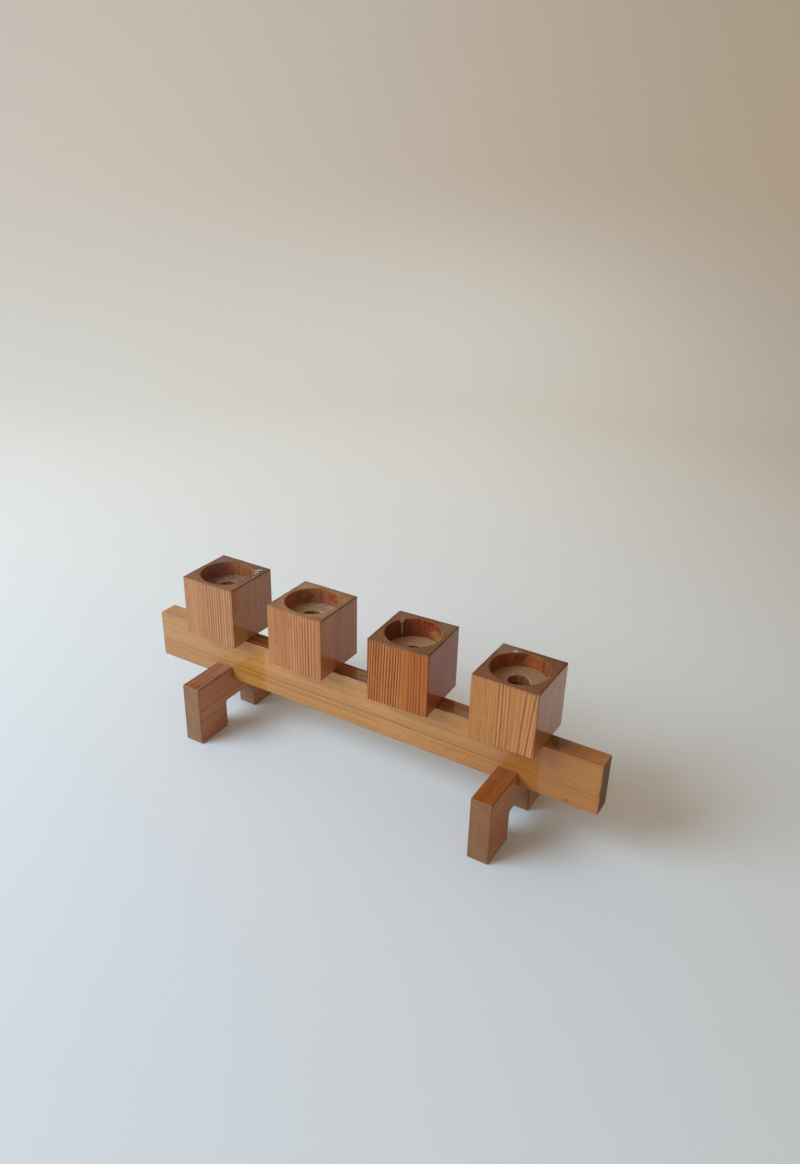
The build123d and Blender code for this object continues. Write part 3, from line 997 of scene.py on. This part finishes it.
# Spilt wax on a block: middle of each lump from the block's axis and top, half sizes, and turn in degrees
WAX_LUMPS = {
    1: (
        ((17.5, 17.4, -0.2), (2.2, 0.7, 0.19), 38), ((15.9, 15.2, -0.2), (2.2, 0.5, 0.18), 12),
        ((18.4, 13.0, -0.2), (1.7, 0.55, 0.18), 28), ((18.7, 10.3, -0.25), (1.1, 0.5, 0.2), 40),
        ((21.3, 21.2, -0.2), (0.6, 0.45, 0.15), 0), ((20.9, 5.2, -0.2), (0.7, 0.4, 0.15), 60),
    ),
    3: (
        ((-15.6, 12.5, -6.0), (0.4, 0.75, 5.4), -38), ((-15.2, 13.1, -1.6), (0.4, 0.75, 1.4), -42),
        ((-16.2, 11.6, -1.8), (0.35, 0.65, 1.5), -36), ((-15.6, 12.5, -11.0), (0.45, 0.7, 1.1), -38),
        ((-15.3, 13.5, -0.4), (0.6, 0.8, 0.3), -42),
    ),
    4: (
        ((-11.9, 17.7, -0.25), (1.1, 0.6, 0.2), -30), ((-12.6, 16.6, -0.5), (0.6, 0.5, 0.4), -35),
        ((-10.7, 18.3, -0.25), (0.7, 0.45, 0.2), -25), ((20.1, -0.6, -0.6), (0.35, 0.6, 0.5), 0),
    ),
}
# The block whose wax has run down the recess wall
WAX_RUN_BLOCK = 3


# Pieces

def block_place(number):
    """Where a block stands at rest."""
    turn = Matrix.Rotation(math.radians(block_turns.get(number, 0.0)), 4, "Z")
    return Matrix.Translation(Vector(swivels[f"block_{number}"] * MM)) @ turn


def make_block(number):
    """One candle block, with its own grain, stains and torn screw hole."""
    grain = BLOCK_GRAINS[number]
    materials = [
        lacquered_wood(f"block_{number}_pine", grain),
        recess_wall(f"recess_{number}_wall", grain, BLOCK_STAINS[number]),
        recess_floor(f"recess_{number}_floor", grain),
        bare_hole(f"screw_hole_{number}", grain),
        end_wood(f"block_{number}_end_grain", grain),
    ]
    block = block_mesh(f"worn_block_{number}", number, materials)
    block.matrix_world = block_place(number)
    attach(block, f"block_{number}")
    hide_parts(f"candle_block_{number}")


def make_wax(number, lumps, material):
    """The wax spilt on one block, as lumps that have melted into each other."""
    work = bmesh.new()
    for middle, half_sizes, turn in lumps:
        centre = Vector(middle) + Vector((0, 0, block_height))
        turned = Matrix.Rotation(math.radians(turn), 4, "Z")
        matrix = Matrix.Translation(centre) @ turned @ Matrix.Diagonal((*half_sizes, 1.0))
        bmesh.ops.create_icosphere(work, subdivisions=3, radius=1.0, matrix=matrix)
    bmesh.ops.scale(work, vec=(MM, MM, MM), verts=work.verts)
    spill = link_bmesh(f"spilt_wax_{number}", work)
    melt = spill.modifiers.new("melt", "REMESH")
    melt.mode = "VOXEL"
    melt.voxel_size = WAX_GRAIN * MM
    melt.use_smooth_shade = True
    apply_modifier(spill, melt)
    spill.data.materials.append(material)
    spill.matrix_world = block_place(number)
    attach(spill, f"block_{number}")


def make_beam():
    """The board on edge that carries the blocks, with a notch over each foot."""
    notch_half = foot_half + lap_clearance
    corners = [(beam_left, beam_bottom, beam_corners[0])]
    for middle in foot_places.values():
        for side, rise in ((-1, 0), (-1, lap_depth), (1, lap_depth), (1, 0)):
            corners.append((middle + side * notch_half, beam_bottom + rise, lap_corner))
    others = ((beam_right, beam_bottom), (beam_right, beam_top), (beam_left, beam_top))
    corners += [(*place, radius) for place, radius in zip(others, beam_corners[1:])]
    materials = [lacquered_wood("beam_pine", BEAM_GRAIN), end_wood("beam_end_grain", BEAM_GRAIN)]
    span = (beam_front, beam_back)
    outline = Outline(corners, BEAM_STEP)
    beam = eased_board("worn_beam", outline, (0, 2, 1), span, materials, 0, 5, BEAM_NICKS)
    holes = []
    for number in BLOCKS:
        holes.append((swivels[f"block_{number}"][:2], block_screw_radius, block_screw_tip_z, beam_top + 5))
    for middle in foot_places.values():
        holes.append(((middle, 0.0), foot_screw_radius, beam_bottom, foot_screw_tip_z))
    drill(beam, holes)
    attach(beam, "stand")
    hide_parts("beam")


def make_feet():
    """Two bars with an arch, a notch for the beam and a countersunk screw hole."""
    half_length, height = foot_high[1], foot_high[2]
    notch_half = beam_back + lap_clearance
    under = [
        (-half_length, 0, foot_corner), (-arch_half_span, 0, leg_corner),
        (-arch_half_span, arch_height, arch_corner_radius),
    ]
    over = [
        (half_length, height, foot_corner), (notch_half, height, notch_corner),
        (notch_half, height - lap_depth, lap_corner),
    ]
    corners = []
    for half in (under, over):
        corners += half + [(-y, z, radius) for y, z, radius in reversed(half)]
    outline = Outline(corners, FOOT_STEP)
    span = (-foot_half, foot_half)
    screw_hole = ((0, 0), foot_screw_radius, foot_drill_z, height)
    head_hole = ((0, 0), foot_head_radius, foot_drill_z, foot_screw_head_z + 2)
    for side, middle in foot_places.items():
        grain = FOOT_GRAINS[side]
        materials = [lacquered_wood(f"foot_{side}_pine", grain), end_wood(f"foot_{side}_end_grain", grain)]
        foot = eased_board(f"worn_foot_{side}", outline, (1, 2, 0), span, materials, 1, grain["seed"])
        drill(foot, [screw_hole, head_hole])
        foot.location = (middle * MM, 0, 0)
        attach(foot, "stand")
        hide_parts(f"foot_{side}")


def dress_screws():
    """Steel on the CAD screws, which show as they are."""
    steel = worn_steel("screw_steel")
    for name, node in frame["nodes"].items():
        if "screw" in name:
            for slot in node.material_slots:
                slot.material = steel


# Stage, light and camera, in metres

# Stage colours: a cool floor, painted light behind it and on the wall by the window, and painted shade on the
# floor and wall away from the window.
STAGE_COOL = srgb(215, 222, 231)
STAGE_PAINTED_LIGHT = srgb(247, 249, 249)
STAGE_PAINTED_LIT_WALL = srgb(252, 247, 242)
STAGE_PAINTED_SHADE_WALL = srgb(198, 183, 165)
STAGE_PAINTED_SHADE_FLOOR = srgb(184, 177, 168)
STAGE_AWAY = (0.86, 0.51, 0.0)
STAGE_BEHIND = (-0.7, 0.71, 0.0)
STAGE_RISE = 0.36
INNER_RADIUS = 0.5
FLOOR_RADIUS = 1.0
BEND_RADIUS = 0.9
WALL_TOP = 1.5
ROUND_STEPS = 96

WINDOW_PLACE = (-1.0, -1.1, 1.12)
WINDOW_AIM = (0, 0, 0.06)
WINDOW_SIZE = (1.2, 1.05)
WINDOW_SPREAD = 150
WINDOW_POWER = 22.0
WINDOW_COLOUR = (0.67, 0.855, 1.0)
ROOM_COLOUR = (1.0, 0.79, 0.55, 1.0)
ROOM_BRIGHT_SIDE = (-0.85, -0.25, 0.46)
ROOM_STRENGTHS = (0.0, 0.8)

# The camera's place is in millimetres, and its angles are in degrees
CAMERA_PLACE = (318.9, -492.4, 443.9)
CAMERA_ANGLES = (63.68, -1.37, 31.01)
CAMERA_LENS = 29.273


def pale_stage(name):
    """A pale floor rising into a backdrop: painted light behind, painted warm shade away from the window."""
    stage = Graph(name)
    place = stage.add("TexCoord").outputs["Object"]
    away = stage.vector("DOT_PRODUCT", place, STAGE_AWAY)["Value"]
    behind = stage.vector("DOT_PRODUCT", place, STAGE_BEHIND)["Value"]
    # Painted light and shade on the wall, from the window's side to the far side.
    wall = stage.mix(stage.ramp(away, -1.1, 1.3), STAGE_PAINTED_LIT_WALL, STAGE_PAINTED_SHADE_WALL)
    stage.colour = STAGE_COOL
    stage.paint(stage.ramp(behind, -0.3, 0.9), STAGE_PAINTED_LIGHT)
    stage.paint(stage.ramp(away, 0.05, 1.2), STAGE_PAINTED_SHADE_FLOOR)
    stage.paint(stage.ramp(stage.split(place)[2], 0.0, STAGE_RISE), wall)
    return stage.finish(None, 0, Roughness=0.9, Specular_IOR_Level=0.1)


def make_stage():
    """A round floor that curves up into a backdrop on every side."""
    profile = [(INNER_RADIUS, 0.0)]
    for angle in np.linspace(0, math.pi / 2, 24):
        radius = FLOOR_RADIUS + BEND_RADIUS * math.sin(angle)
        profile.append((radius, BEND_RADIUS * (1 - math.cos(angle))))
    profile.append((FLOOR_RADIUS + BEND_RADIUS, WALL_TOP))
    turns = np.linspace(0, 2 * math.pi, ROUND_STEPS, endpoint=False)
    vertices = [(0.0, 0.0, 0.0)]
    for radius, z in profile:
        vertices += [(radius * math.cos(angle), radius * math.sin(angle), z) for angle in turns]
    faces = [(0, 1 + k, 1 + (k + 1) % ROUND_STEPS) for k in range(ROUND_STEPS)]
    for face in ring_faces(len(profile), ROUND_STEPS, closed=False):
        faces.append(tuple(1 + k for k in reversed(face)))
    floor = make_object("stage_floor", np.array(vertices) / MM, faces, [pale_stage("pale_stage")])


def make_window():
    """One large soft lamp at the front left, cool like daylight."""
    window = bpy.data.lights.new("window_light", "AREA")
    window.shape = "RECTANGLE"
    window.size, window.size_y = WINDOW_SIZE
    window.spread = math.radians(WINDOW_SPREAD)
    window.energy = WINDOW_POWER
    window.color = WINDOW_COLOUR
    lamp = link_object("window_light", window)
    lamp.location = WINDOW_PLACE
    aim = Vector(WINDOW_AIM) - Vector(WINDOW_PLACE)
    lamp.rotation_euler = aim.to_track_quat("-Z", "Y").to_euler()
    lamp.visible_camera = False


def make_room():
    """Warm fill light from the room, stronger from the window's side."""
    world = bpy.data.worlds.new("soft_room")
    room = Graph("soft_room", world)
    direction = room.add("TexCoord").outputs["Generated"]
    towards = room.vector("DOT_PRODUCT", direction, ROOM_BRIGHT_SIDE)["Value"]
    strength = room.add("MapRange", towards, -1.0, 1.0, *ROOM_STRENGTHS).outputs[0]
    background = room.add("Background", ROOM_COLOUR, strength)
    room.add("OutputWorld", background.outputs[0])
    bpy.context.scene.world = world


def make_camera():
    """The photograph's viewpoint, from a fit of the part's corners to the picture."""
    camera = bpy.data.cameras.new("camera")
    camera.lens = CAMERA_LENS
    view = link_object("camera", camera)
    view.location = [value * MM for value in CAMERA_PLACE]
    view.rotation_euler = [math.radians(angle) for angle in CAMERA_ANGLES]
    bpy.context.scene.camera = view


for block_number in BLOCKS:
    make_block(block_number)
wax_splash = candle_wax("wax_splash", WAX_PALE, WAX_DULL)
# Painted shade: the wax that ran into block 3's recess is a darker copy of the spilt wax.
wax_run_in_shade = candle_wax("wax_run_in_shade", WAX_DULL, WAX_SHADED_BROWN)
for block_number, block_lumps in WAX_LUMPS.items():
    make_wax(block_number, block_lumps, wax_run_in_shade if block_number == WAX_RUN_BLOCK else wax_splash)
make_beam()
make_feet()
dress_screws()
make_stage()
make_window()
make_room()
make_camera()
bpy.context.scene.view_settings.view_transform = "Standard"

bpy.context.view_layer.update()
